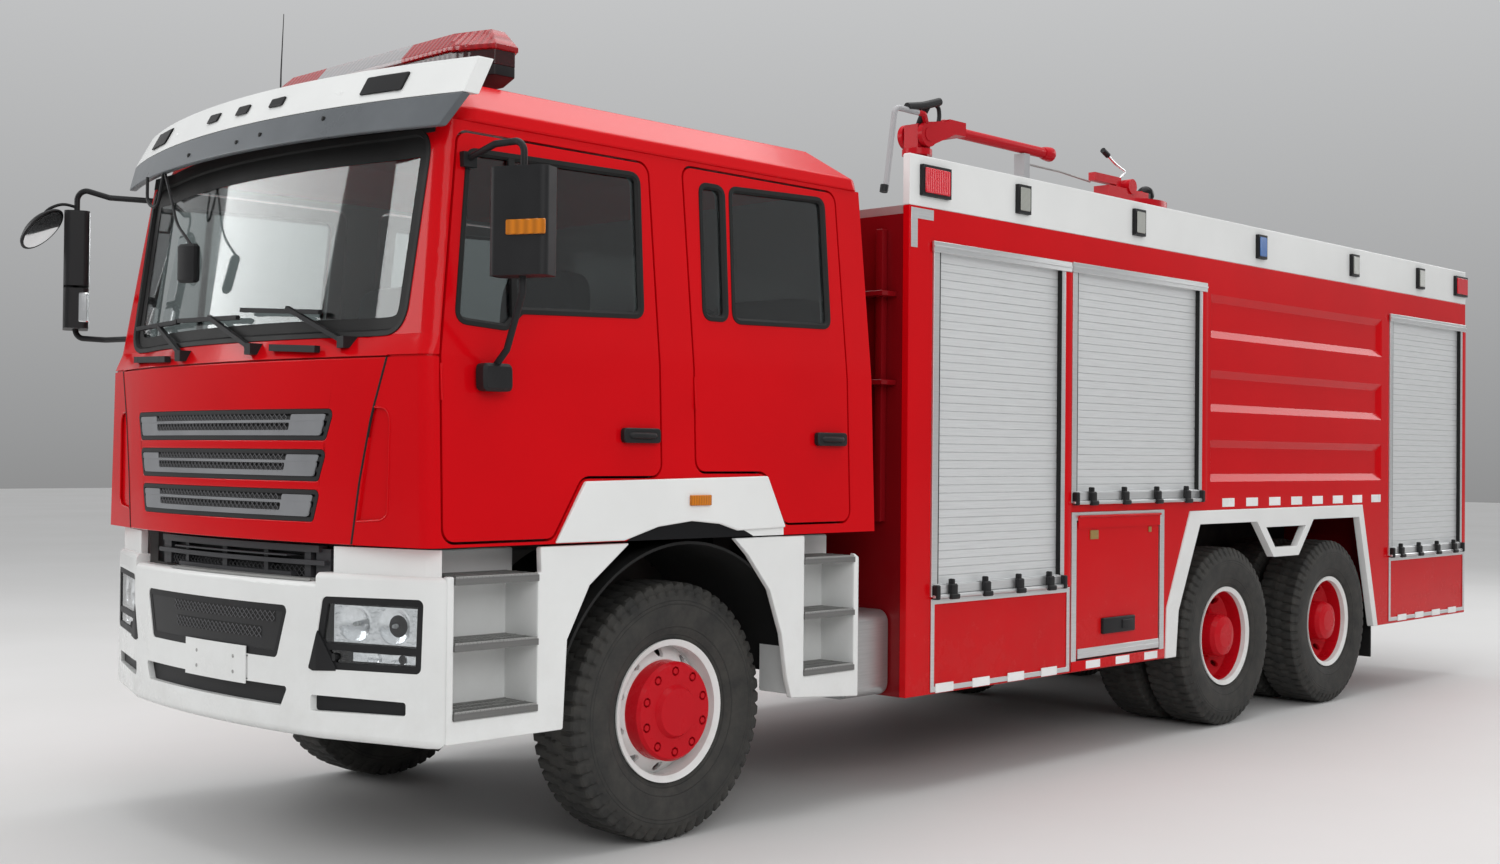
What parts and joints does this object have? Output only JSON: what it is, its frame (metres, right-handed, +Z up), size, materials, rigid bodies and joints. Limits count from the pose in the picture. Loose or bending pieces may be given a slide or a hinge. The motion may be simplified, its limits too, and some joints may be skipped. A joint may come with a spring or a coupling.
{
  "type": "fire truck",
  "caption": "Cab-over fire truck with a crew cab, shuttered locker and tank body, tandem rear axles and a roof monitor.",
  "frame": {"origin": "on the ground under the middle of the truck's box", "axes": "+X towards the front, +Y to the truck's left, +Z up"},
  "size_m": [9.76, 3.1614, 3.639],
  "materials": {
    "aluminium": "satin",
    "black_plastic": "matte",
    "cast_block": "matte",
    "chassis_paint": "satin",
    "grey_plastic": "satin",
    "grille_plastic": "matte",
    "lamp_glass": "clear",
    "lamp_lens": "gloss",
    "monitor_paint": "gloss",
    "red_lens": "gloss",
    "red_paint": "gloss",
    "seat_fabric": "matte",
    "shutter_slats": "satin",
    "tank_metal": "brushed",
    "tyre_rubber": "matte",
    "wheel_paint": "gloss",
    "white_paint": "gloss",
    "window_glass": "clear"
  },
  "bodies": {
    "chassis": {"body_roof": "tank_metal", "body_shell": "red_paint", "body_sides": "red_paint", "bumper": "white_paint", "bumper_inserts": "black_plastic", "cab_roof": "red_paint", "cab_shell": "red_paint", "chassis_frame": "chassis_paint", "chassis_tanks": "tank_metal", "dashboard": "grey_plastic", "engine_block": "cast_block", "front_axle": "chassis_paint", "front_fenders": "white_paint", "front_grilles": "grille_plastic", "front_panel": "red_paint", "headlamps": "lamp_glass", "lightbar_base": "black_plastic", "lightbar_lens": "red_lens", "mirror_right": "black_plastic", "rear_axles": "chassis_paint", "rear_ladder": "aluminium", "roof_fairing": "white_paint", "roof_fittings": "monitor_paint", "seats": "seat_fabric", "shutter_frames": "aluminium", "shutters": "shutter_slats", "side_lamps": "lamp_lens", "step_treads": "aluminium", "sun_visor": "grey_plastic", "wheel_liners": "black_plastic", "white_trim": "white_paint", "windscreen": "window_glass", "wipers": "black_plastic"},
    "knuckle_left": {"knuckle_left": "chassis_paint"},
    "front_wheel_left": {"front_tyre_left": "tyre_rubber", "front_wheel_left": "wheel_paint"},
    "rear_wheels_1_left": {"rear_tyres_1_left": "tyre_rubber", "rear_wheels_1_left": "wheel_paint"},
    "rear_wheels_2_left": {"rear_tyres_2_left": "tyre_rubber", "rear_wheels_2_left": "wheel_paint"},
    "front_door_left": {"front_door_left": "red_paint", "front_door_glass_left": "window_glass", "mirror_left": "black_plastic"},
    "rear_door_left": {"rear_door_left": "red_paint", "rear_door_glass_left": "window_glass"},
    "locker_door_left": {"locker_door_left": "red_paint"},
    "knuckle_right": {"knuckle_right": "chassis_paint"},
    "front_wheel_right": {"front_tyre_right": "tyre_rubber", "front_wheel_right": "wheel_paint"},
    "rear_wheels_1_right": {"rear_tyres_1_right": "tyre_rubber", "rear_wheels_1_right": "wheel_paint"},
    "rear_wheels_2_right": {"rear_tyres_2_right": "tyre_rubber", "rear_wheels_2_right": "wheel_paint"},
    "front_door_right": {"front_door_right": "red_paint", "front_door_glass_right": "window_glass"},
    "rear_door_right": {"rear_door_right": "red_paint", "rear_door_glass_right": "window_glass"},
    "locker_door_right": {"locker_door_right": "red_paint"},
    "monitor_swivel": {"monitor_swivel": "monitor_paint"},
    "monitor_barrel": {"monitor_barrel": "monitor_paint"}
  },
  "joints": [
    {"name": "steer_left", "type": "hinge", "parent": "chassis", "child": "knuckle_left", "pos_m": [3.38, 0.87, 0.54], "axis": [0, 0, 1], "range_deg": [-35, 35]},
    {"name": "front_wheel_spin_left", "type": "hinge", "parent": "knuckle_left", "child": "front_wheel_left", "pos_m": [3.38, 1, 0.54], "axis": [0, 1, 0], "continuous": true},
    {"name": "rear_wheel_spin_1_left", "type": "hinge", "parent": "chassis", "child": "rear_wheels_1_left", "pos_m": [-1.19, 0.92, 0.54], "axis": [0, 1, 0], "continuous": true},
    {"name": "rear_wheel_spin_2_left", "type": "hinge", "parent": "chassis", "child": "rear_wheels_2_left", "pos_m": [-2.59, 0.92, 0.54], "axis": [0, 1, 0], "continuous": true},
    {"name": "front_door_hinge_left", "type": "hinge", "parent": "chassis", "child": "front_door_left", "pos_m": [4.637, 1.274, 1.265], "axis": [0, 0.073, -0.9973], "range_deg": [0, 72]},
    {"name": "rear_door_hinge_left", "type": "hinge", "parent": "chassis", "child": "rear_door_left", "pos_m": [3.354, 1.274, 1.265], "axis": [0, 0.073, -0.9973], "range_deg": [0, 75]},
    {"name": "locker_hinge_left", "type": "hinge", "parent": "chassis", "child": "locker_door_left", "pos_m": [0.092, 1.2653, 1.299], "axis": [1, 0, 0], "range_deg": [0, 90]},
    {"name": "steer_right", "type": "hinge", "parent": "chassis", "child": "knuckle_right", "pos_m": [3.38, -0.87, 0.54], "axis": [0, 0, 1], "range_deg": [-35, 35]},
    {"name": "front_wheel_spin_right", "type": "hinge", "parent": "knuckle_right", "child": "front_wheel_right", "pos_m": [3.38, -1, 0.54], "axis": [0, 1, 0], "continuous": true},
    {"name": "rear_wheel_spin_1_right", "type": "hinge", "parent": "chassis", "child": "rear_wheels_1_right", "pos_m": [-1.19, -0.92, 0.54], "axis": [0, 1, 0], "continuous": true},
    {"name": "rear_wheel_spin_2_right", "type": "hinge", "parent": "chassis", "child": "rear_wheels_2_right", "pos_m": [-2.59, -0.92, 0.54], "axis": [0, 1, 0], "continuous": true},
    {"name": "front_door_hinge_right", "type": "hinge", "parent": "chassis", "child": "front_door_right", "pos_m": [4.637, -1.274, 1.265], "axis": [0, 0.073, 0.9973], "range_deg": [0, 72]},
    {"name": "rear_door_hinge_right", "type": "hinge", "parent": "chassis", "child": "rear_door_right", "pos_m": [3.354, -1.274, 1.265], "axis": [0, 0.073, 0.9973], "range_deg": [0, 75]},
    {"name": "locker_hinge_right", "type": "hinge", "parent": "chassis", "child": "locker_door_right", "pos_m": [0.092, -1.2653, 1.299], "axis": [-1, 0, 0], "range_deg": [0, 90]},
    {"name": "monitor_pan", "type": "hinge", "parent": "chassis", "child": "monitor_swivel", "pos_m": [0.33, 0, 3.4], "axis": [0, 0, 1], "range_deg": [-170, 170]},
    {"name": "monitor_tilt", "type": "hinge", "parent": "monitor_swivel", "child": "monitor_barrel", "pos_m": [0.33, 0, 3.52], "axis": [0, 1, 0], "range_deg": [0, 35]}
  ],
  "couplings": [
    {"joint": "steer_right", "follows": "steer_left", "ratio": 1}
  ]
}
